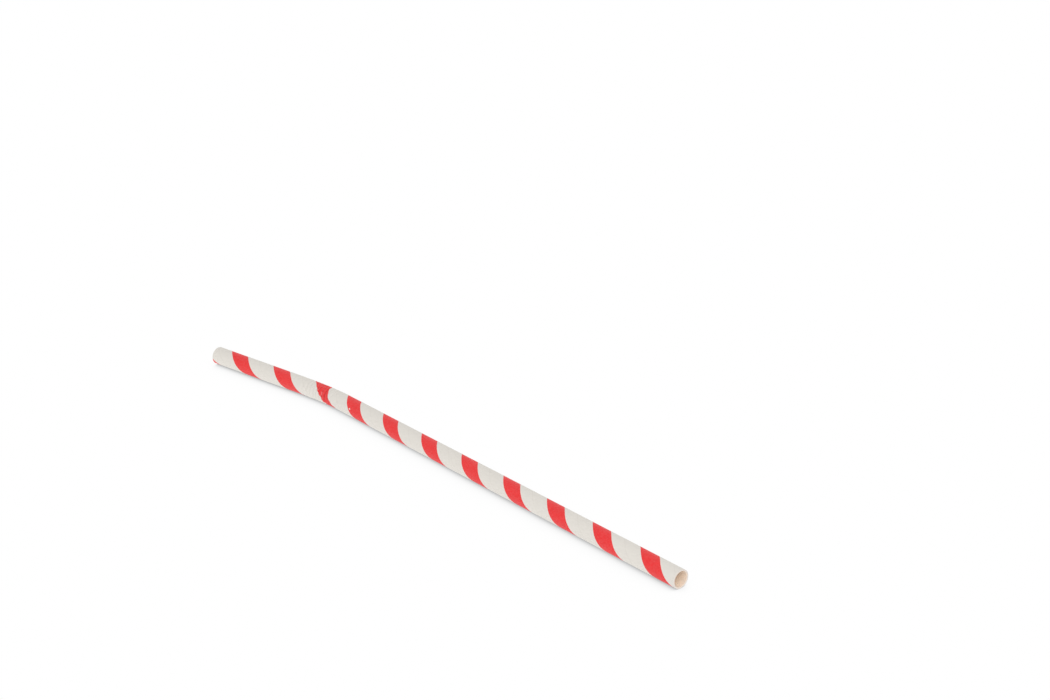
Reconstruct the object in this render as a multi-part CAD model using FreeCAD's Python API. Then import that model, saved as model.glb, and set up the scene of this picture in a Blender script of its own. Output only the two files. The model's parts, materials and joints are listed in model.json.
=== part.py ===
import FreeCAD, Part
import math
import os

# A flexible paper drinking straw, lying on a table as it comes to rest.
# It is one paper tube: a long straight part, a short crimped part that lets it bend,
# and a short straight part to drink from, turned a little to one side.
# The origin is the centre of the long part's mouth, +X runs along the long part
# towards the crimp, +Z is up, and the short part turns towards +Y.

# Driving sizes, in millimetres and degrees
OUTER_DIAMETER = 6.0
WALL = 0.48
LONG_LENGTH = 159.0
SHORT_LENGTH = 37.0
BEND_ANGLE = 9.9

# The crimp: rings pressed into the paper one after another
FOLD_COUNT = 16
FOLD_PITCH = 1.6
FOLD_DEPTH = 0.28
SHALLOWEST_FOLD = 0.10
CREST_SHARE = 0.30
ROOT_SHARE = 0.20

# Hand work shows in the rings: some are wider, some lean
PITCH_UNEVENNESS = 0.16
RING_LEAN = 2.6
UNEVEN_STEP = 2.4

OUTER_RADIUS = OUTER_DIAMETER / 2
BORE_RADIUS = OUTER_RADIUS - WALL
CRIMP_LENGTH = FOLD_COUNT * FOLD_PITCH


class Station:
    """A ring of the crimp: how far along it is, its turn, its pressed depth and its lean."""

    def __init__(self, along, turn, depth, lean):
        self.along = along
        self.turn = turn
        self.depth = depth
        self.lean = lean


def fold_widths():
    """Widths of the folds from the long part on, uneven but adding up to the crimp's length."""
    rough = [1 + PITCH_UNEVENNESS * math.sin(UNEVEN_STEP * i * i) for i in range(FOLD_COUNT)]
    return [CRIMP_LENGTH * width / sum(rough) for width in rough]


def fold_turns():
    """The bend's share of each fold in degrees, most beside the long part and least at the far one."""
    rough = [FOLD_COUNT - i for i in range(FOLD_COUNT)]
    return [BEND_ANGLE * share / sum(rough) for share in rough]


def fold_depth(i):
    """How deep a fold is pressed: shallow at both ends of the crimp and deepest in its middle."""
    bulge = math.sin(math.pi * (i + 0.5) / FOLD_COUNT)
    return SHALLOWEST_FOLD + (FOLD_DEPTH - SHALLOWEST_FOLD) * bulge


def crimp_stations():
    """Every ring where the crimp's outline changes slope: two at each crest, two at each root."""
    stations = [Station(0, 0, 0, 0)]
    along = 0
    turn = 0
    for i, (width, fold_turn) in enumerate(zip(fold_widths(), fold_turns())):
        lean = RING_LEAN * math.sin(UNEVEN_STEP * i)
        crest = CREST_SHARE / 2
        root = 0.5 - ROOT_SHARE / 2
        for share, depth, ring_lean in (
            (crest, 0, 0),
            (root, fold_depth(i), lean),
            (1 - root, fold_depth(i), lean),
            (1 - crest, 0, 0),
        ):
            stations.append(Station(along + share * width, turn + share * fold_turn, depth, ring_lean))
        along += width
        turn += fold_turn
    stations.append(Station(along, turn, 0, 0))
    return stations


def heading(turn):
    """Unit vector along the tube after it has turned so many degrees from +X towards +Y."""
    return FreeCAD.Vector(math.cos(math.radians(turn)), math.sin(math.radians(turn)), 0)


def station_points(stations):
    """The centre of each ring, found by walking along the bent line from one ring to the next."""
    points = [FreeCAD.Vector(LONG_LENGTH, 0, 0)]
    for last, this in zip(stations, stations[1:]):
        middle = heading((last.turn + this.turn) / 2)
        points.append(points[-1] + middle * (this.along - last.along))
    return points


def ring(centre, station, radius):
    """A circle across the tube, leaning over a little where the station says so."""
    turned = FreeCAD.Rotation(FreeCAD.Vector(0, 0, 1), station.turn)
    leant = FreeCAD.Rotation(FreeCAD.Vector(0, 1, 0), station.lean)
    edge = Part.makeCircle(radius - station.depth, FreeCAD.Vector(0, 0, 0), heading(0))
    edge.Placement = FreeCAD.Placement(centre, turned.multiply(leant))
    return Part.Wire([edge])


def crimp(radius, stations, points):
    """The crimped part as a solid rod of the given radius."""
    rings = [ring(point, station, radius) for point, station in zip(points, stations)]
    return Part.makeLoft(rings, True, True)


def straw():
    """The whole tube as one solid: the outside as a rod, less the same rod of the bore's radius."""
    stations = crimp_stations()
    points = station_points(stations)
    far_point = points[-1]
    far_heading = heading(BEND_ANGLE)
    rods = []
    for radius in (OUTER_RADIUS, BORE_RADIUS):
        long_rod = Part.makeCylinder(radius, LONG_LENGTH, FreeCAD.Vector(0, 0, 0), heading(0))
        short_rod = Part.makeCylinder(radius, SHORT_LENGTH, far_point, far_heading)
        rods.append(long_rod.fuse([crimp(radius, stations, points), short_rod]))
    return rods[0].cut(rods[1])


def main():
    os.makedirs("parts", exist_ok=True)
    shape = straw()
    solid = shape.Solids[0]
    mouth = station_points(crimp_stations())[-1] + heading(BEND_ANGLE) * SHORT_LENGTH
    print("solids", len(shape.Solids), "valid", shape.isValid(), "volume", round(solid.Volume, 2))
    print("far mouth", round(mouth.x, 4), round(mouth.y, 4), round(mouth.z, 4))
    print("far axis", round(heading(BEND_ANGLE).x, 6), round(heading(BEND_ANGLE).y, 6))
    solid.exportStep("parts/straw.step")


main()
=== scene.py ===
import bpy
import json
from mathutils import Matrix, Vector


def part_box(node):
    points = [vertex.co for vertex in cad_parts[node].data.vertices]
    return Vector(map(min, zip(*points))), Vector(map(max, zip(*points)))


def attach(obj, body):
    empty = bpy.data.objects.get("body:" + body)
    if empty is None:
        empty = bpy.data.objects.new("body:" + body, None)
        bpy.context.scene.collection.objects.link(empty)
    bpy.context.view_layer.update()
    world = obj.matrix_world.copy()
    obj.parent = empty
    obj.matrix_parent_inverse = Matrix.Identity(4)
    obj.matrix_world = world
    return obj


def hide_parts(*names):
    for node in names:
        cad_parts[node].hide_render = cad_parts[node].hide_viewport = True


bl_info = {
    "name": "Flexible Paper Straw",
    "version": (1, 0, 0),
    "blender": (4, 5, 0),
    "location": "3D View > Sidebar > Paper Straw",
    "description": "Builds a striped flexible paper drinking straw and the stage it lies on",
    "category": "Add Mesh",
}

import json
import math

import bmesh
import bpy
from bpy.props import FloatProperty, FloatVectorProperty, IntProperty, PointerProperty
from bpy.types import Operator, Panel, PropertyGroup
from mathutils import Matrix, Vector, noise

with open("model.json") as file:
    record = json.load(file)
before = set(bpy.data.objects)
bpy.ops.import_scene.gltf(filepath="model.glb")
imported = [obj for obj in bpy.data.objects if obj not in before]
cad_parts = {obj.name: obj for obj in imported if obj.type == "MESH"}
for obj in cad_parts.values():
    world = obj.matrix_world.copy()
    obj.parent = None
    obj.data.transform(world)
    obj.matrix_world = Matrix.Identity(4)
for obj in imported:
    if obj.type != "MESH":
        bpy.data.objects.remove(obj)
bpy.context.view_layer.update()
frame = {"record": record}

# Sizes that the frame gives, in metres
MM = 0.001
MOUNTS = {mount["name"]: mount for mount in frame["record"]["mounts"]}
OUTER_RADIUS = MOUNTS["long_outside"]["dims"]["r_mm"] * MM
BORE_RADIUS = MOUNTS["long_bore"]["dims"]["r_mm"] * MM
LONG_LENGTH = MOUNTS["long_bore"]["dims"]["length_mm"] * MM
SHORT_LENGTH = MOUNTS["short_bore"]["dims"]["length_mm"] * MM
FAR_MOUTH = Vector(MOUNTS["short_bore"]["pos_m"])
FAR_AXIS = Vector(MOUNTS["short_bore"]["axis"])
BEND = math.atan2(FAR_AXIS.y, FAR_AXIS.x)
TABLE_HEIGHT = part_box("straw")[0].z
WALL = OUTER_RADIUS - BORE_RADIUS
MIDDLE_RADIUS = (OUTER_RADIUS + BORE_RADIUS) / 2
FULL_TURN = 2 * math.pi


class StrawSizes(PropertyGroup):
    """Sizes of the crimp, the print and the mesh."""

    fold_count: IntProperty(
        name="Folds", description="Rings pressed into the crimp", default=16, min=2, max=40
    )
    fold_pitch: FloatProperty(
        name="Fold Pitch", description="Mean distance between rings",
        default=1.6 * MM, unit="LENGTH",
    )
    fold_depth: FloatProperty(
        name="Fold Depth", description="Depth of the deepest ring",
        default=0.28 * MM, unit="LENGTH",
    )
    shallowest_fold: FloatProperty(
        name="Shallowest Fold", description="Depth of the rings at the crimp's ends",
        default=0.10 * MM, unit="LENGTH",
    )
    pitch_unevenness: FloatProperty(
        name="Pitch Unevenness", description="How much the rings differ in width",
        default=0.16, subtype="FACTOR",
    )
    ring_lean: FloatProperty(
        name="Ring Lean", description="How far a ring leans over", default=math.radians(2.6),
        subtype="ANGLE",
    )
    gather: FloatProperty(
        name="Gather", description="Length of paper that the folds take up", default=4.4 * MM,
        unit="LENGTH",
    )
    crumple: FloatProperty(
        name="Crumple", description="Height of the creases between the rings",
        default=0.05 * MM, unit="LENGTH",
    )
    stripe_pitch: FloatProperty(
        name="Stripe Pitch", description="Distance along the straw from one red turn to the next",
        default=20.16 * MM, unit="LENGTH",
    )
    stripe_start: FloatProperty(
        name="Stripe Start", description="Where the red's near edge crosses the straw's far side",
        default=13.5 * MM, unit="LENGTH",
    )
    stripe_share: FloatProperty(
        name="Stripe Share", description="Share of each turn that is red", default=0.394,
        subtype="FACTOR",
    )
    seam_place: FloatProperty(
        name="Seam Place", description="Where the wound strip's edges meet, as a share of a turn",
        default=0.72, subtype="FACTOR",
    )
    seam_depth: FloatProperty(
        name="Seam Depth", description="Depth of the line between the strip's edges",
        default=0.030 * MM, unit="LENGTH",
    )
    columns: IntProperty(
        name="Columns", description="Faces round the tube", default=64, min=16, max=256
    )


class StrawColours(PropertyGroup):
    """Colours of the paper and its print, with painted shade and a painted highlight on the crimp's
    red, and painted light in the bore.
    """

    paper: FloatVectorProperty(
        name="Paper", description="Uncoated white outside of the straw", subtype="COLOR",
        default=(0.702, 0.669, 0.617),
    )
    ink: FloatVectorProperty(
        name="Ink", description="Red of the printed spiral", subtype="COLOR",
        default=(0.765, 0.011, 0.013),
    )
    # Painted shade: a darker red for each fold's flank that faces away from the lamp
    flank_shade_ink: FloatVectorProperty(
        name="Deep Ink", description="Red on the far side of each fold", subtype="COLOR",
        default=(0.540, 0.004, 0.006),
    )
    # Painted highlight: a light pink red painted on one fold's crest, where light catches it
    highlight_ink: FloatVectorProperty(
        name="Rubbed Ink", description="Red on the crest of a fold that is rubbed", subtype="COLOR",
        default=(0.90, 0.16, 0.17),
    )
    # Partly the inside's own warm tone, partly painted light: brighter than the outside's paper, as
    # light coming through the thin wall
    bore: FloatVectorProperty(
        name="Bore", description="Warm paper inside the straw", subtype="COLOR",
        default=(0.945, 0.805, 0.675),
    )
    cut: FloatVectorProperty(
        name="Cut", description="Pale edge of the cut paper", subtype="COLOR",
        default=(0.660, 0.590, 0.540),
    )


class StageSettings(PropertyGroup):
    """Where the straw is seen from, and the light on it."""

    camera_place: FloatVectorProperty(
        name="Camera", description="Place of the camera", subtype="TRANSLATION", unit="LENGTH",
        default=(-349.8 * MM, 366.4 * MM, 287.3 * MM),
    )
    camera_heading: FloatProperty(
        name="Heading", description="Turn of the view from the straw's long part",
        default=math.radians(-41.3325), subtype="ANGLE",
    )
    camera_tilt: FloatProperty(
        name="Tilt", description="How far the camera looks down", default=math.radians(23.24),
        subtype="ANGLE",
    )
    camera_lens: FloatProperty(
        name="Lens", description="Focal length in millimetres", default=69.94, min=10, max=300
    )
    sky_strength: FloatProperty(
        name="Sky", description="Strength of the even light", default=0.82, min=0, max=2
    )
    table_glow: FloatProperty(
        name="Table Glow", description="Light that the white table throws on the straw",
        default=1.20, min=0, max=2,
    )
    lamp_watts: FloatProperty(
        name="Lamp", description="Power of the soft lamp", default=3.4, unit="POWER"
    )
    shadow_reach: FloatProperty(
        name="Shadow Reach", description="How far the straw's shadow spreads over the table",
        default=30.0 * MM, unit="LENGTH",
    )
    shadow_depth: FloatProperty(
        name="Shadow Depth", description="How dark the shadow is beside the straw",
        default=0.74, subtype="FACTOR", min=0, max=1,
    )
    shadow_falloff: FloatProperty(
        name="Shadow Falloff", description="How fast the shadow fades away from the straw",
        default=2.7, min=1, max=8,
    )


# The crimp and the bent line of the tube


class Fold:
    """One ring of the crimp: where it starts, how wide it is, its depth, lean and turn."""

    def __init__(self, start, width, depth, lean, turn_before, turn):
        self.start = start
        self.width = width
        self.depth = depth
        self.lean = lean
        self.turn_before = turn_before
        self.turn = turn
        self.corner = None


# The rings' uneven order and profile, as in the solid, and how far its end may be off
UNEVEN_STEP = 2.4
CREST_SHARE = 0.30
ROOT_SHARE = 0.20
FRAME_TOLERANCE = 0.05 * MM


def heading(turn):
    """Unit vector along the tube after it has turned from +X towards +Y."""
    return Vector((math.cos(turn), math.sin(turn), 0))


def make_folds(sizes):
    """The folds from the long part on, with the corner of the bent line where each starts."""
    count = sizes.fold_count
    widths = [1 + sizes.pitch_unevenness * math.sin(UNEVEN_STEP * i * i) for i in range(count)]
    scale = count * sizes.fold_pitch / sum(widths)
    turns = [count - i for i in range(count)]
    folds = []
    start = LONG_LENGTH
    turn = 0.0
    corner = Vector((LONG_LENGTH, 0, 0))
    for i, rough in enumerate(widths):
        bulge = math.sin(math.pi * (i + 0.5) / count)
        depth = sizes.shallowest_fold + (sizes.fold_depth - sizes.shallowest_fold) * bulge
        lean = sizes.ring_lean * math.sin(UNEVEN_STEP * i)
        fold = Fold(start, rough * scale, depth, lean, turn, BEND * turns[i] / sum(turns))
        fold.corner = corner.copy()
        folds.append(fold)
        start += fold.width
        corner += heading(turn + fold.turn / 2) * fold.width
        turn += fold.turn
    return folds


class Centreline:
    """The bent line through the tube, by distance along it."""

    def __init__(self, sizes):
        self.folds = make_folds(sizes)
        self.crimp_end = LONG_LENGTH + sizes.fold_count * sizes.fold_pitch
        self.crimp_length = self.crimp_end - LONG_LENGTH
        self.length = self.crimp_end + SHORT_LENGTH
        self.short_start = FAR_MOUTH - heading(BEND) * SHORT_LENGTH
        last = self.folds[-1]
        end = last.corner + heading(last.turn_before + last.turn / 2) * last.width
        if (end - self.short_start).length > FRAME_TOLERANCE:
            raise RuntimeError("the folds don't end where the frame's short part starts")

    def along_crimp(self, share):
        """Distance to a place in the crimp, given as a share of its length."""
        return LONG_LENGTH + share * self.crimp_length

    def fold_at(self, along):
        """The fold at that distance, or None on a straight part."""
        if along < LONG_LENGTH or along > self.crimp_end:
            return None
        for fold in self.folds:
            if along <= fold.start + fold.width:
                return fold
        return self.folds[-1]

    def place(self, along):
        """(point on the line, turn of the tube there)."""
        fold = self.fold_at(along)
        if fold:
            step = along - fold.start
            turned = fold.turn * step / fold.width
            point = fold.corner + heading(fold.turn_before + turned / 2) * step
            return point, fold.turn_before + turned
        if along < LONG_LENGTH:
            return Vector((along, 0, 0)), 0.0
        return self.short_start + heading(BEND) * (along - self.crimp_end), BEND


def smooth(value):
    """A smooth step from 0 to 1."""
    value = min(max(value, 0.0), 1.0)
    return value * value * (3 - 2 * value)


# Pressed rings: where they are firm, as shares of the crimp, and how they vary round the tube
FIRM_PLACE = 0.37
FIRM_SPREAD = 0.25
LOOSE_DEPTH = 0.20
MEAN_PRESS = 0.8
PRESS_CHANGE = 0.55
PRESS_VARIETY = 1.3
RINGS_APART = 2 * MM
# Shift from a fold's root to its flank that faces away from the lamp, where shade is painted
SHADED_FLANK_SHIFT = 0.22

# Gathered paper: where the folds are tight, as shares of the crimp, and what they take up there
TIGHT_PLACE = 0.277
TIGHT_SPREAD = 0.133
TIGHT_SHARE = 0.66
LOOSE_REACH = 9.5 * MM
OPENING = 0.021
STEPPED_SHARE = 0.6
FOLD_SLANT = 0.5 * MM
SLANT_CENTRE = 0.3

# Crumpled paper: how far it reaches past the crimp, its creases, swellings and puckers
CRUMPLE_REACH = 5.0 * MM
CRUMPLE_FADE = 2.2 * CRUMPLE_REACH
CREASE_WIDTH = 0.75 * MM
CREASE_LENGTH = 3.4 * MM
CREASE_SLANT = 0.35
CREASE_SHARPNESS = 4.2
CREASE_SINK = 0.75
SWELL = 0.55
SWELL_SIZE = 1.1 * MM
PUCKER_SIZE = 1.5 * MM
PUCKER_SHIFT = 0.20 * MM

# Places in the noise, apart so that each effect has a pattern of its own
FIRST_CREASES = 1.0
SECOND_CREASES = 7.0
PUCKERS = 31


def fold_press(across):
    """How deep a fold is at a place across it: 0 on its crests, 1 along its root."""
    from_root = abs(across - 0.5)
    flank = (0.5 - CREST_SHARE / 2) - ROOT_SHARE / 2
    return smooth(1 - (from_root - ROOT_SHARE / 2) / flank)


def ring_drop(line, along, height, angle):
    """(drop of the paper at a pressed ring, painted shade on the ring's flank that faces away from
    the lamp)
    """
    fold = line.fold_at(along)
    if fold is None:
        return 0.0, 0.0
    across = (along - height * math.tan(fold.lean) - fold.start) / fold.width
    spot = Vector((math.cos(angle), math.sin(angle), fold.start / RINGS_APART))
    unevenness = MEAN_PRESS + PRESS_CHANGE * noise.noise(spot * PRESS_VARIETY)
    away = (along - line.along_crimp(FIRM_PLACE)) / (FIRM_SPREAD * line.crimp_length)
    firmness = LOOSE_DEPTH + (1 - LOOSE_DEPTH) * math.exp(-away * away)
    strength = unevenness * firmness
    return fold.depth * fold_press(across) * strength, fold_press(across + SHADED_FLANK_SHIFT) * strength


def gathered_paper(line, sizes, along, height):
    """Length of paper that the folds have taken up by there, most of it where the straw bends."""
    fold = line.fold_at(along)
    if fold:
        stepped = fold.start + fold.width * smooth(2 * (along - fold.start) / fold.width - 0.5)
        along += STEPPED_SHARE * (stepped - along)
    along += FOLD_SLANT * (height / OUTER_RADIUS - SLANT_CENTRE)
    reach = TIGHT_SPREAD * line.crimp_length / 2
    tight_start = line.along_crimp(TIGHT_PLACE) - reach
    loose_start = LONG_LENGTH - LOOSE_REACH
    loose = min(max((along - loose_start) / (tight_start - loose_start), 0.0), 1.0)
    tight = smooth((along - tight_start) / (2 * reach))
    opened = OPENING * max(0.0, along - tight_start - 4 * reach)
    return sizes.gather * ((1 - TIGHT_SHARE) * loose + TIGHT_SHARE * tight) - opened


def crumple_window(line, along):
    """How crumpled the paper is: 1 in the crimp's middle, fading out beyond its ends."""
    before = smooth((along - LONG_LENGTH + CRUMPLE_REACH) / CRUMPLE_FADE)
    after = smooth((line.crimp_end + CRUMPLE_REACH - along) / CRUMPLE_FADE)
    return before * after


def crease(along, sideways, seed):
    """Crease lines that run mostly across the tube: 1 on a line, 0 away from it."""
    slanted = along + CREASE_SLANT * sideways
    spot = Vector((slanted / CREASE_WIDTH, sideways / CREASE_LENGTH, seed))
    return max(0.0, 1 - abs(noise.noise(spot)) * CREASE_SHARPNESS)


def crumple_at(line, sizes, along, angle):
    """(rise of the paper, crease mark from 0 to 1, shift of the wound strip) at a spot"""
    window = crumple_window(line, along)
    if window <= 0:
        return 0.0, 0.0, 0.0
    around = Vector((math.cos(angle), math.sin(angle))) * OUTER_RADIUS
    one = crease(along, around.x, FIRST_CREASES)
    two = crease(along, around.y, SECOND_CREASES)
    mark = max(one, two) * window
    swell = noise.noise(Vector((around.x, around.y, along)) / SWELL_SIZE)
    rise = sizes.crumple * window * (SWELL * swell - CREASE_SINK * mark)
    pucker = noise.noise(Vector((around.x, around.y, along + PUCKERS)) / PUCKER_SIZE)
    return rise, mark, PUCKER_SHIFT * window * pucker


# The mesh of the straw


def across_tube(bm, radius, columns):
    """A circle of edges across the tube at its near mouth."""
    made = bmesh.ops.create_circle(bm, cap_ends=False, segments=columns, radius=radius)
    verts = made["verts"]
    bmesh.ops.rotate(bm, verts=verts, cent=(0, 0, 0), matrix=Matrix.Rotation(math.pi / 2, 3, "Y"))
    edges = list({edge for vert in verts for edge in vert.link_edges})
    return verts, edges


def draw_along(bm, loop, length, step, winding):
    """Draws a loop of edges along the tube, turning as the paper is wound. Gives the last loop."""
    steps = max(1, math.ceil(length / step))
    made = bmesh.ops.spin(
        bm,
        geom=loop,
        cent=(0, 0, 0),
        axis=(1, 0, 0),
        dvec=(length / steps, 0, 0),
        angle=length * winding,
        steps=steps,
        use_merge=False,
        use_normal_flip=False,
        use_duplicate=False,
    )
    return made["geom_last"]


def wrap_of(sizes, along, angle):
    """Place across the wound strip: 0 at the red's near edge, 1 a turn further on."""
    from_far_side = 0.5 - angle / FULL_TURN
    return (along - sizes.stripe_start) / sizes.stripe_pitch + from_far_side


def angle_of(sizes, along, wrap):
    """The angle round the tube where the strip has that place across it."""
    return (0.5 - wrap + (along - sizes.stripe_start) / sizes.stripe_pitch) * FULL_TURN


# The seam's line and low lip, and how far the mesh's columns crowd towards it
SEAM_LINE = 0.11 * MM
SEAM_LIP = 0.5 * MM
LIP_SHARE = 0.35
SEAM_CROWDING = 0.8


def crowd_at_seam(sizes, verts, radius):
    """Moves the near mouth's columns towards the seam, so that its fine line has its own faces."""
    count = len(verts)
    for i, vert in enumerate(verts):
        share = (i + 0.5) / count - 0.5
        share -= SEAM_CROWDING * math.sin(FULL_TURN * share) / FULL_TURN
        angle = angle_of(sizes, 0.0, sizes.seam_place + share)
        vert.co = (0, radius * math.cos(angle), radius * math.sin(angle))


# The mesh's steps along the tube, its cut ends, and the rounding of their edges
LONG_STEP = 1.8 * MM
CRIMP_STEP = 0.55 * MM
OUTSIDE_CUTS = 4
BORE_STEP = 4.0 * MM
BORE_CRIMP_STEP = 0.2 * MM
RIM_PLIES = 3
EDGE_ROUNDING = 0.05 * MM
MOUTH_RING = 0.12 * MM
TURN_PASSES = 3


def draw_wall(bm, line, radius, sizes, wound):
    """One wall of the tube, straight and round for now. Gives its two end loops.

    The bore's columns turn only as far as they must to meet the wound ones at the far mouth.
    """
    verts, edges = across_tube(bm, radius, sizes.columns)
    crowd_at_seam(sizes, verts, radius)
    turns = line.length / sizes.stripe_pitch
    straight_step, crimp_step = LONG_STEP, CRIMP_STEP
    if not wound:
        turns -= round(turns)
        straight_step, crimp_step = BORE_STEP, BORE_CRIMP_STEP
    winding = FULL_TURN * turns / line.length
    loop = edges + verts
    for length, step in (
        (LONG_LENGTH - CRUMPLE_REACH, straight_step),
        (line.crimp_end - LONG_LENGTH + 2 * CRUMPLE_REACH, crimp_step),
        (SHORT_LENGTH - CRUMPLE_REACH, straight_step),
    ):
        loop = draw_along(bm, loop, length, step, winding)
    return edges, [edge for edge in loop if isinstance(edge, bmesh.types.BMEdge)]


def refine_outside(bm):
    """Cuts the outside into finer rings and sets them back on the round."""
    lengthways = []
    for edge in bm.edges:
        one, two = (vert.co for vert in edge.verts)
        if abs(one.x - two.x) > MM / 100 and min(one.yz.length, two.yz.length) > MIDDLE_RADIUS:
            lengthways.append(edge)
    bmesh.ops.subdivide_edges(bm, edges=lengthways, cuts=OUTSIDE_CUTS, use_grid_fill=True)
    for vert in bm.verts:
        away = vert.co.yz.length
        if away > MIDDLE_RADIUS:
            vert.co.yz = vert.co.yz * (OUTER_RADIUS / away)


def close_mouth(bm, loop):
    """The cut end of the wall: drawn in from the outside to the bore, ply by ply."""
    radius = OUTER_RADIUS
    for ply in range(RIM_PLIES):
        made = bmesh.ops.extrude_edge_only(bm, edges=loop)["geom"]
        verts = [item for item in made if isinstance(item, bmesh.types.BMVert)]
        edges = [item for item in made if isinstance(item, bmesh.types.BMEdge)]
        loop = [edge for edge in edges if all(vert in verts for vert in edge.verts)]
        inner = OUTER_RADIUS - WALL * (ply + 1) / RIM_PLIES
        bmesh.ops.scale(bm, verts=verts, vec=(1, inner / radius, inner / radius))
        radius = inner


PRINTED, BORE, CUT = range(3)


def sort_faces(bm, line):
    """Gives each face its material: the printed outside, the bore or a cut end."""
    for face in bm.faces:
        centre = face.calc_center_median()
        on_end = all(min(v.co.x, line.length - v.co.x) < EDGE_ROUNDING / 10 for v in face.verts)
        if on_end:
            face.material_index = CUT
        elif math.hypot(centre.y, centre.z) < MIDDLE_RADIUS:
            face.material_index = BORE
        else:
            face.material_index = PRINTED
        face.smooth = True


def ring_at(bm, along):
    """Cuts one more ring round both walls at that distance."""
    everything = list(bm.verts) + list(bm.edges) + list(bm.faces)
    bmesh.ops.bisect_plane(
        bm, geom=everything, dist=MM / 1000, plane_co=(along, 0, 0), plane_no=(1, 0, 0)
    )


def round_mouths(bm, line):
    """Rounds the edges of both cut ends a little, with a ring behind to hold them."""
    ring_at(bm, MOUTH_RING)
    ring_at(bm, line.length - MOUTH_RING)
    sharp = []
    for edge in bm.edges:
        kinds = {face.material_index for face in edge.link_faces}
        if CUT in kinds and len(kinds) == 2:
            sharp.append(edge)
    bmesh.ops.bevel(
        bm, geom=sharp, offset=EDGE_ROUNDING, offset_type="OFFSET", segments=2, profile=0.5,
        affect="EDGES", material=-1, clamp_overlap=True,
    )


def lay_out_wrap(bm, sizes):
    """Writes the map that the print follows: across the wound strip, and along in turns."""
    wrap = bm.loops.layers.uv.new("wrap")
    for face in bm.faces:
        first = None
        for loop in face.loops:
            x, y, z = loop.vert.co
            if face.material_index == CUT:
                across = (math.hypot(y, z) - BORE_RADIUS) / WALL
            else:
                across = wrap_of(sizes, x, math.atan2(z, y))
                if first is None:
                    first = across = across % 1.0
                else:
                    across -= round(across - first)
            loop[wrap].uv = (across, x / sizes.stripe_pitch)


def seam_dip(sizes, along, angle):
    """How far the line between the wound strip's edges is sunk, with a low lip beside it."""
    strip_width = sizes.stripe_pitch * FULL_TURN * OUTER_RADIUS / math.hypot(
        sizes.stripe_pitch, FULL_TURN * OUTER_RADIUS
    )
    away = wrap_of(sizes, along, angle) - sizes.seam_place
    away = (away - round(away)) * strip_width
    dip = math.exp(-((away / SEAM_LINE) ** 2))
    lip = math.exp(-(((away - SEAM_LIP) / SEAM_LIP) ** 2))
    return sizes.seam_depth * (dip - LIP_SHARE * lip)


def shape_wall(bm, line, sizes):
    """Presses the folds, crumples the crimp, sinks the seam and bends the tube.

    A spot's turn by the gathered paper depends on its height, so it is found in a few passes.
    """
    mark_layer = bm.verts.layers.float.new("crease")
    # Each point also keeps the painted shade of its fold's far flank, for the outside's colour
    flank_shade_layer = bm.verts.layers.float.new("painted_flank_shade")
    for vert in bm.verts:
        along, y, z = vert.co
        angle = math.atan2(z, y)
        radius = math.hypot(y, z)
        outside = smooth((radius - BORE_RADIUS) / WALL)
        rise, mark, shift = crumple_at(line, sizes, along, angle)
        turned = angle
        for _ in range(TURN_PASSES):
            gathered = gathered_paper(line, sizes, along, radius * math.sin(turned))
            turned = angle + FULL_TURN * (gathered + shift) / sizes.stripe_pitch
        drop, dark = ring_drop(line, along, radius * math.sin(turned), turned)
        radius += rise - drop - outside * seam_dip(sizes, along, angle)
        radius = min(radius, OUTER_RADIUS)
        vert[mark_layer] = mark * outside
        vert[flank_shade_layer] = dark * outside
        point, turn = line.place(along)
        side = Vector((-math.sin(turn), math.cos(turn), 0))
        vert.co = point + side * (radius * math.cos(turned))
        vert.co.z += radius * math.sin(turned)


def straw_mesh(sizes):
    """The whole straw as one closed mesh."""
    line = Centreline(sizes)
    bm = bmesh.new()
    mouths = draw_wall(bm, line, OUTER_RADIUS, sizes, wound=True)
    draw_wall(bm, line, BORE_RADIUS, sizes, wound=False)
    refine_outside(bm)
    for loop in mouths:
        close_mouth(bm, loop)
    bmesh.ops.remove_doubles(bm, verts=bm.verts, dist=MM / 1000)
    bmesh.ops.recalc_face_normals(bm, faces=bm.faces)
    sort_faces(bm, line)
    round_mouths(bm, line)
    lay_out_wrap(bm, sizes)
    shape_wall(bm, line, sizes)
    mesh = bpy.data.meshes.new("straw_tube")
    bm.to_mesh(mesh)
    bm.free()
    return mesh


# Materials


def add_node(tree, kind, settings=None, **inputs):
    """Adds a node, sets its options and fills its sockets with values or other nodes' outputs."""
    made = tree.nodes.new(kind)
    for name, value in (settings or {}).items():
        setattr(made, name, value)
    for name, value in inputs.items():
        fill(tree, made.inputs[name.replace("_", " ")], value)
    return made


def fill(tree, socket, value):
    """Links a socket to another, or sets its value."""
    if isinstance(value, bpy.types.NodeSocket):
        tree.links.new(value, socket)
    else:
        socket.default_value = value


def maths(tree, operation, first, second=0.0, clamp=False):
    """One step of arithmetic between sockets or numbers."""
    made = add_node(tree, "ShaderNodeMath", {"operation": operation, "use_clamp": clamp})
    fill(tree, made.inputs[0], first)
    if operation not in ("FRACT", "ABSOLUTE"):
        fill(tree, made.inputs[1], second)
    return made.outputs[0]


# The Mix node's sockets for colours, which share their names with those for numbers
COLOUR_A, COLOUR_B, COLOUR_RESULT = 6, 7, 2


def mix_colours(tree, factor, first, second):
    """One colour blended into another."""
    made = add_node(tree, "ShaderNodeMix", {"data_type": "RGBA"})
    fill(tree, made.inputs["Factor"], factor)
    fill(tree, made.inputs[COLOUR_A], first)
    fill(tree, made.inputs[COLOUR_B], second)
    return made.outputs[COLOUR_RESULT]


def spotted(tree, size, detail=2.0):
    """Noise over the piece with spots of that size in metres, as a number from 0 to 1."""
    where = add_node(tree, "ShaderNodeTexCoord").outputs["Object"]
    made = add_node(tree, "ShaderNodeTexNoise", Vector=where, Scale=1 / size, Detail=detail)
    return made.outputs["Fac"]


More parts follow.
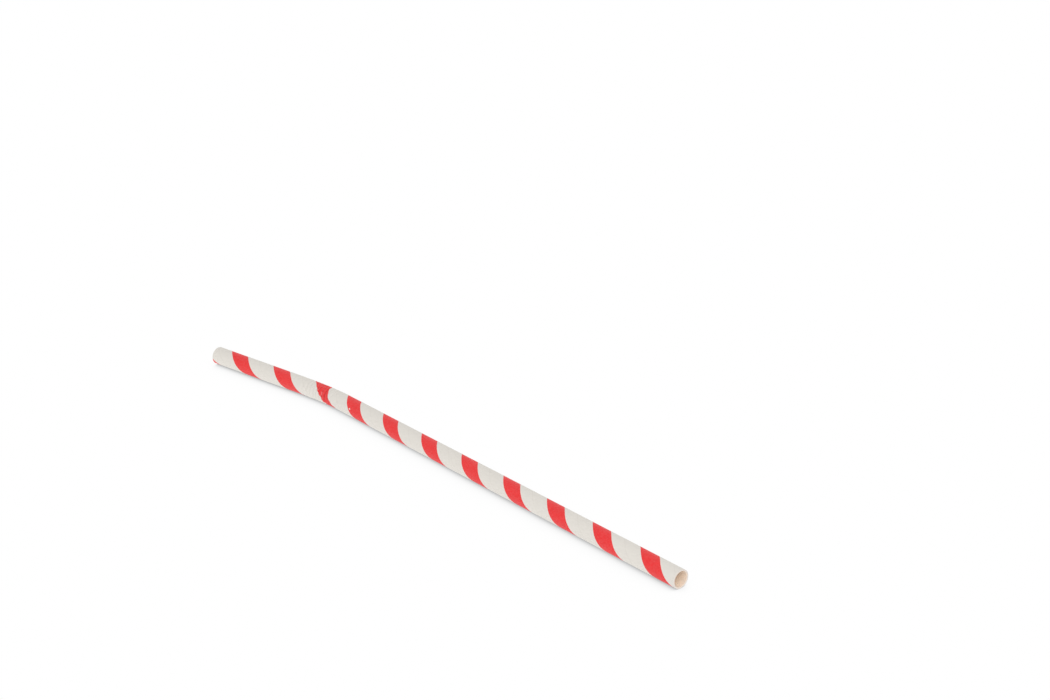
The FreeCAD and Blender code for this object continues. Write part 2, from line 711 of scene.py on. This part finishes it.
def new_group(name, inputs, outputs):
    """An empty node group with named inputs and outputs."""
    group = bpy.data.node_groups.new(name, "ShaderNodeTree")
    for label, kind, value in inputs:
        socket = group.interface.new_socket(label, in_out="INPUT", socket_type=kind)
        socket.default_value = value
    for label, kind in outputs:
        group.interface.new_socket(label, in_out="OUTPUT", socket_type=kind)
    start = group.nodes.new("NodeGroupInput")
    end = group.nodes.new("NodeGroupOutput")
    return group, start.outputs, end.inputs


def wound_band_group():
    """A band along the wound strip: 1 inside it, 0 outside, with a slightly unsteady edge."""
    number = "NodeSocketFloat"
    group, given, result = new_group(
        "wound_band",
        [
            ("Wrap", number, 0.0),
            ("Centre", number, 0.5),
            ("Half Width", number, 0.1),
            ("Softness", number, 0.002),
            ("Wobble", number, 0.004),
        ],
        [("Mask", number)],
    )
    away = maths(group, "SUBTRACT", given["Wrap"], given["Centre"])
    away = maths(group, "FRACT", maths(group, "ADD", away, 0.5))
    away = maths(group, "ABSOLUTE", maths(group, "SUBTRACT", away, 0.5))
    unsteady = maths(group, "SUBTRACT", spotted(group, 0.5 * MM, 3.0), 0.5)
    away = maths(group, "ADD", away, maths(group, "MULTIPLY", unsteady, given["Wobble"]))
    inside = maths(group, "SUBTRACT", given["Half Width"], away)
    inside = maths(group, "DIVIDE", inside, given["Softness"])
    mask = maths(group, "ADD", inside, 0.5, clamp=True)
    group.links.new(mask, result["Mask"])
    return group


def paper_fibre_group():
    """Paper seen close: clouds of thicker pulp, and fine fibres that also give the relief."""
    number = "NodeSocketFloat"
    group, given, result = new_group(
        "paper_fibre",
        [
            ("Colour", "NodeSocketColor", (0.8, 0.8, 0.8, 1.0)),
            ("Clouds", number, 0.03),
            ("Fibres", number, 0.03),
        ],
        [("Colour", "NodeSocketColor"), ("Height", number)],
    )
    clouds = maths(group, "SUBTRACT", spotted(group, 1.6 * MM), 0.5)
    fibres = spotted(group, 0.28 * MM, 4.0)
    change = maths(group, "MULTIPLY", clouds, given["Clouds"])
    fine = maths(group, "MULTIPLY", maths(group, "SUBTRACT", fibres, 0.5), given["Fibres"])
    level = maths(group, "ADD", maths(group, "ADD", change, fine), 1.0)
    scaled = add_node(group, "ShaderNodeVectorMath", {"operation": "SCALE"})
    fill(group, scaled.inputs[0], given["Colour"])
    fill(group, scaled.inputs["Scale"], level)
    group.links.new(scaled.outputs[0], result["Colour"])
    group.links.new(fibres, result["Height"])
    return group


def use_group(tree, group, **inputs):
    """Places a node group in a material with its own values."""
    made = add_node(tree, "ShaderNodeGroup", {"node_tree": group})
    for name, value in inputs.items():
        fill(tree, made.inputs[name.replace("_", " ")], value)
    return made.outputs


def new_material(name):
    """(material, its tree, its Principled shader)"""
    material = bpy.data.materials.new(name)
    material.use_nodes = True
    tree = material.node_tree
    return material, tree, tree.nodes["Principled BSDF"]


def opaque(colour):
    """The colour with its alpha."""
    return (*colour, 1.0)


def wrap_map(tree):
    """(across the wound strip, along the tube in turns)"""
    wrap = add_node(tree, "ShaderNodeUVMap", {"uv_map": "wrap"})
    parts = add_node(tree, "ShaderNodeSeparateXYZ", Vector=wrap.outputs["UV"])
    return parts.outputs["X"], parts.outputs["Y"]


def attribute(tree, name):
    """A number that the mesh holds at each of its points."""
    return add_node(tree, "ShaderNodeAttribute", {"attribute_name": name}).outputs["Fac"]


FIBRE_RELIEF = 0.012 * MM
FIBRE_STRENGTH = 0.8


def finish_paper(tree, shader, colour, roughness, height):
    """Fills the shader of a paper, with the relief of its fibres."""
    fill(tree, shader.inputs["Base Color"], colour)
    fill(tree, shader.inputs["Roughness"], roughness)
    bump = add_node(
        tree, "ShaderNodeBump", Height=height, Distance=FIBRE_RELIEF, Strength=FIBRE_STRENGTH
    )
    fill(tree, shader.inputs["Normal"], bump.outputs["Normal"])


def shade_line(tree, colour, line, strength, shade):
    """A colour with a thin line drawn over it."""
    return mix_colours(tree, maths(tree, "MULTIPLY", line, strength), colour, opaque(shade))


# The print: painted shade and less sheen on the folds' far sides, and how ink wears off creases or
# lies thin
FLANK_SHADE_STRENGTH = 0.9
FLANK_SHEEN_SHADE = 0.4
WORN_SPOTS = 0.6 * MM
WORN_CONTRAST = 2.4
WORN_LEVEL = 0.9
WORN_SHARE = 0.25
THIN_SPOTS = 0.45 * MM
THIN_LEVEL = 0.38
THIN_INK = 0.14
PAPER_ROUGHNESS = 0.66
INK_SMOOTHNESS = 0.14
SHEEN = 0.5
MARK_FULLNESS = 1.4


class PrintMark:
    """A spot on the printed outside: its place on the wrap map, and its half sizes round and along.
    """

    def __init__(self, across, along, half_round, half_length):
        self.across = across
        self.along = along
        self.half_round = half_round
        self.half_length = half_length


BARE_NICK = PrintMark(0.338, 7.547, 0.27 * MM, 0.38 * MM)
# A painted highlight on the crest of one fold in the red
PAINTED_HIGHLIGHT = PrintMark(0.304, 8.333, 0.75 * MM, 0.32 * MM)


def print_mark(tree, sizes, across, along, mark):
    """1 inside the mark, falling to 0 at its edge.

    Both ways of the wrap map change along the tube, and their difference only round it.
    """
    further = maths(tree, "SUBTRACT", along, mark.along)
    turned = maths(tree, "SUBTRACT", further, maths(tree, "SUBTRACT", across, mark.across))
    x = maths(tree, "MULTIPLY", further, sizes.stripe_pitch / mark.half_length)
    y = maths(tree, "MULTIPLY", turned, FULL_TURN * OUTER_RADIUS / mark.half_round)
    away = maths(tree, "ADD", maths(tree, "MULTIPLY", x, x), maths(tree, "MULTIPLY", y, y))
    return maths(tree, "SUBTRACT", MARK_FULLNESS, away, clamp=True)


def bare_share(tree, sizes, across, along):
    """How much paper shows in the print: on worn creases, in one nick and where ink lies thin."""
    spots = maths(tree, "MULTIPLY", spotted(tree, WORN_SPOTS), WORN_CONTRAST)
    patchy = maths(tree, "SUBTRACT", spots, WORN_LEVEL)
    worn = maths(tree, "MULTIPLY", attribute(tree, "crease"), patchy, clamp=True)
    worn = maths(tree, "MULTIPLY", worn, WORN_SHARE)
    bare = maths(tree, "MAXIMUM", worn, print_mark(tree, sizes, across, along, BARE_NICK))
    grain = maths(tree, "SUBTRACT", spotted(tree, THIN_SPOTS, 3.0), THIN_LEVEL)
    return maths(tree, "MAXIMUM", bare, maths(tree, "MULTIPLY", grain, THIN_INK, clamp=True))


def printed_paper(groups, sizes, colours):
    """The straw's outside: white paper, the red spiral, the seam, ink worn off the creases, and
    painted shade and a painted highlight on the folds.
    """
    material, tree, shader = new_material("printed_paper")
    across, along = wrap_map(tree)
    half = sizes.stripe_share / 2
    red = use_group(
        tree, groups["band"], Wrap=across, Centre=half, Half_Width=half,
        Softness=0.004, Wobble=0.008,
    )["Mask"]
    seam = use_group(
        tree, groups["band"], Wrap=across, Centre=sizes.seam_place, Half_Width=0.006,
        Softness=0.008, Wobble=0.004,
    )["Mask"]
    paper = use_group(
        tree, groups["fibre"], Colour=opaque(colours.paper), Clouds=0.035, Fibres=0.05
    )
    ink = use_group(tree, groups["fibre"], Colour=opaque(colours.ink), Clouds=0.10, Fibres=0.22)
    # Painted shade: the red darkens and its sheen drops on each fold's flank that faces away from
    # the lamp
    flank = attribute(tree, "painted_flank_shade")
    flank_shade = maths(tree, "MULTIPLY", flank, FLANK_SHADE_STRENGTH, clamp=True)
    ink_with_painted_light = mix_colours(tree, flank_shade, ink["Colour"], opaque(colours.flank_shade_ink))
    # Painted highlight on one fold's crest
    highlighted = print_mark(tree, sizes, across, along, PAINTED_HIGHLIGHT)
    ink_with_painted_light = mix_colours(tree, highlighted, ink_with_painted_light, opaque(colours.highlight_ink))
    covered = maths(tree, "SUBTRACT", 1.0, bare_share(tree, sizes, across, along), clamp=True)
    inked = maths(tree, "MULTIPLY", red, covered)
    colour = mix_colours(tree, inked, paper["Colour"], ink_with_painted_light)
    colour = shade_line(tree, colour, seam, 0.09, (0.30, 0.24, 0.20))
    smoother = maths(tree, "MULTIPLY", inked, INK_SMOOTHNESS)
    roughness = maths(tree, "SUBTRACT", PAPER_ROUGHNESS, smoother)
    finish_paper(tree, shader, colour, roughness, paper["Height"])
    flank_sheen_shade = maths(tree, "MULTIPLY", flank, FLANK_SHEEN_SHADE)
    sheen = maths(tree, "SUBTRACT", SHEEN, flank_sheen_shade, clamp=True)
    fill(tree, shader.inputs["Specular IOR Level"], sheen)
    return material


def bore_paper(groups, colours):
    """The inside of the tube: warm paper, made brighter than the outside as painted light coming
    through the thin wall, with the seam of the inner strip.
    """
    material, tree, shader = new_material("bore_paper")
    across, _ = wrap_map(tree)
    seam = use_group(
        tree, groups["band"], Wrap=across, Centre=0.3, Half_Width=0.006, Softness=0.01, Wobble=0.004
    )["Mask"]
    paper = use_group(tree, groups["fibre"], Colour=opaque(colours.bore), Clouds=0.05, Fibres=0.06)
    colour = shade_line(tree, paper["Colour"], seam, 0.12, (0.45, 0.33, 0.27))
    finish_paper(tree, shader, colour, 0.7, paper["Height"])
    return material


def cut_paper(groups, colours):
    """The cut end of the wall: pale fibres and faint lines where the plies are glued."""
    material, tree, shader = new_material("cut_paper")
    depth, _ = wrap_map(tree)
    plies = maths(tree, "MULTIPLY", depth, float(RIM_PLIES))
    lines = use_group(
        tree, groups["band"], Wrap=plies, Centre=0.0, Half_Width=0.05, Softness=0.12, Wobble=0.3
    )["Mask"]
    paper = use_group(tree, groups["fibre"], Colour=opaque(colours.cut), Clouds=0.05, Fibres=0.12)
    colour = shade_line(tree, paper["Colour"], lines, 0.25, (0.5, 0.42, 0.36))
    finish_paper(tree, shader, colour, 0.75, paper["Height"])
    return material


class STRAW_OT_tube(Operator):
    """Builds the paper tube with its crimp, print and cut ends"""

    bl_idname = "straw.tube"
    bl_label = "Paper Tube"

    def execute(self, context):
        sizes = context.scene.straw_sizes
        colours = context.scene.straw_colours
        straw = bpy.data.objects.new("paper_straw", straw_mesh(sizes))
        context.scene.collection.objects.link(straw)
        groups = {"band": wound_band_group(), "fibre": paper_fibre_group()}
        straw.data.materials.append(printed_paper(groups, sizes, colours))
        straw.data.materials.append(bore_paper(groups, colours))
        straw.data.materials.append(cut_paper(groups, colours))
        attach(straw, "root")
        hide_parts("straw")
        return {"FINISHED"}


# The stage


TABLE_SIZE = 6.0
LAMP_PLACE = Vector((-0.65, 0.35, 0.75))
LAMP_SIZE = 0.8


def seen_directly(tree):
    """1 where the camera, a reflection or a clear surface shows the stage, 0 for its light."""
    path = add_node(tree, "ShaderNodeLightPath").outputs
    seen = maths(tree, "MAXIMUM", path["Is Camera Ray"], path["Is Glossy Ray"])
    return maths(tree, "MAXIMUM", seen, path["Is Transmission Ray"])


def table_material(settings):
    """White table: seen with the straw's soft shadow on it, and lighting the straw evenly."""
    material, tree, shader = new_material("white_table")
    tree.nodes.remove(shader)
    openness = add_node(
        tree, "ShaderNodeAmbientOcclusion", {"samples": 16}, Distance=settings.shadow_reach
    ).outputs["AO"]
    covered = maths(tree, "SUBTRACT", 1.0, openness)
    shade = maths(tree, "POWER", covered, settings.shadow_falloff)
    shown = maths(tree, "SUBTRACT", 1.0, maths(tree, "MULTIPLY", shade, settings.shadow_depth))
    strength = add_node(
        tree, "ShaderNodeMix", {"data_type": "FLOAT"},
        Factor=seen_directly(tree), A=settings.table_glow, B=shown,
    )
    glow = add_node(tree, "ShaderNodeEmission", Strength=strength.outputs["Result"])
    tree.links.new(glow.outputs[0], tree.nodes["Material Output"].inputs["Surface"])
    return material


def add_table(scene, settings):
    """The white table that the straw lies on."""
    bm = bmesh.new()
    bmesh.ops.create_grid(bm, x_segments=1, y_segments=1, size=TABLE_SIZE / 2)
    bmesh.ops.translate(bm, verts=bm.verts, vec=(0, 0, TABLE_HEIGHT))
    mesh = bpy.data.meshes.new("table_top")
    bm.to_mesh(mesh)
    bm.free()
    table = bpy.data.objects.new("table_top", mesh)
    table.data.materials.append(table_material(settings))
    scene.collection.objects.link(table)


def light_sky(scene, strength):
    """Even white light from all round, seen as plain white by the camera."""
    world = bpy.data.worlds.new("even_light")
    world.use_nodes = True
    tree = world.node_tree
    background = tree.nodes["Background"]
    more = maths(tree, "MULTIPLY", seen_directly(tree), 1.0 - strength)
    fill(tree, background.inputs["Color"], (1, 1, 1, 1))
    fill(tree, background.inputs["Strength"], maths(tree, "ADD", more, strength))
    scene.world = world


def add_lamp(scene, watts):
    """A soft lamp above the straw's near end."""
    light = bpy.data.lights.new("soft_lamp", "AREA")
    light.shape = "DISK"
    light.size = LAMP_SIZE
    light.energy = watts
    lamp = bpy.data.objects.new("soft_lamp", light)
    lamp.location = LAMP_PLACE
    aim = Vector((LONG_LENGTH / 2, 0, 0)) - LAMP_PLACE
    lamp.rotation_euler = aim.to_track_quat("-Z", "Y").to_euler()
    scene.collection.objects.link(lamp)


def add_camera(scene, settings):
    """The camera at the photograph's place and angle, for a frame of 1050 by 700."""
    data = bpy.data.cameras.new("photo_camera")
    data.sensor_width = 36.0
    data.lens = settings.camera_lens
    data.clip_start = 0.01
    data.clip_end = 20.0
    camera = bpy.data.objects.new("photo_camera", data)
    camera.location = settings.camera_place
    right_angle = math.pi / 2
    camera.rotation_euler = (
        right_angle - settings.camera_tilt, 0, settings.camera_heading - right_angle
    )
    scene.collection.objects.link(camera)
    scene.camera = camera


class STRAW_OT_stage(Operator):
    """Adds the white table, the light and the camera"""

    bl_idname = "straw.stage"
    bl_label = "Stage"

    def execute(self, context):
        scene = context.scene
        settings = scene.straw_stage
        add_table(scene, settings)
        light_sky(scene, settings.sky_strength)
        add_lamp(scene, settings.lamp_watts)
        add_camera(scene, settings)
        scene.view_settings.view_transform = "Standard"
        return {"FINISHED"}


class STRAW_PT_sidebar(Panel):
    """Sizes, colours and steps of the paper straw"""

    bl_label = "Paper Straw"
    bl_idname = "STRAW_PT_sidebar"
    bl_space_type = "VIEW_3D"
    bl_region_type = "UI"
    bl_category = "Paper Straw"

    def draw(self, context):
        scene = context.scene
        for group in (scene.straw_sizes, scene.straw_colours, scene.straw_stage):
            box = self.layout.box()
            for name in group.bl_rna.properties.keys():
                if name not in ("rna_type", "name"):
                    box.prop(group, name)
        self.layout.operator(STRAW_OT_tube.bl_idname)
        self.layout.operator(STRAW_OT_stage.bl_idname)


CLASSES = (
    StrawSizes,
    StrawColours,
    StageSettings,
    STRAW_OT_tube,
    STRAW_OT_stage,
    STRAW_PT_sidebar,
)


def register():
    for cls in CLASSES:
        bpy.utils.register_class(cls)
    bpy.types.Scene.straw_sizes = PointerProperty(type=StrawSizes)
    bpy.types.Scene.straw_colours = PointerProperty(type=StrawColours)
    bpy.types.Scene.straw_stage = PointerProperty(type=StageSettings)


def unregister():
    del bpy.types.Scene.straw_stage
    del bpy.types.Scene.straw_colours
    del bpy.types.Scene.straw_sizes
    for cls in reversed(CLASSES):
        bpy.utils.unregister_class(cls)


def main():
    register()
    bpy.ops.straw.tube()
    bpy.ops.straw.stage()


if __name__ == "__main__":
    main()
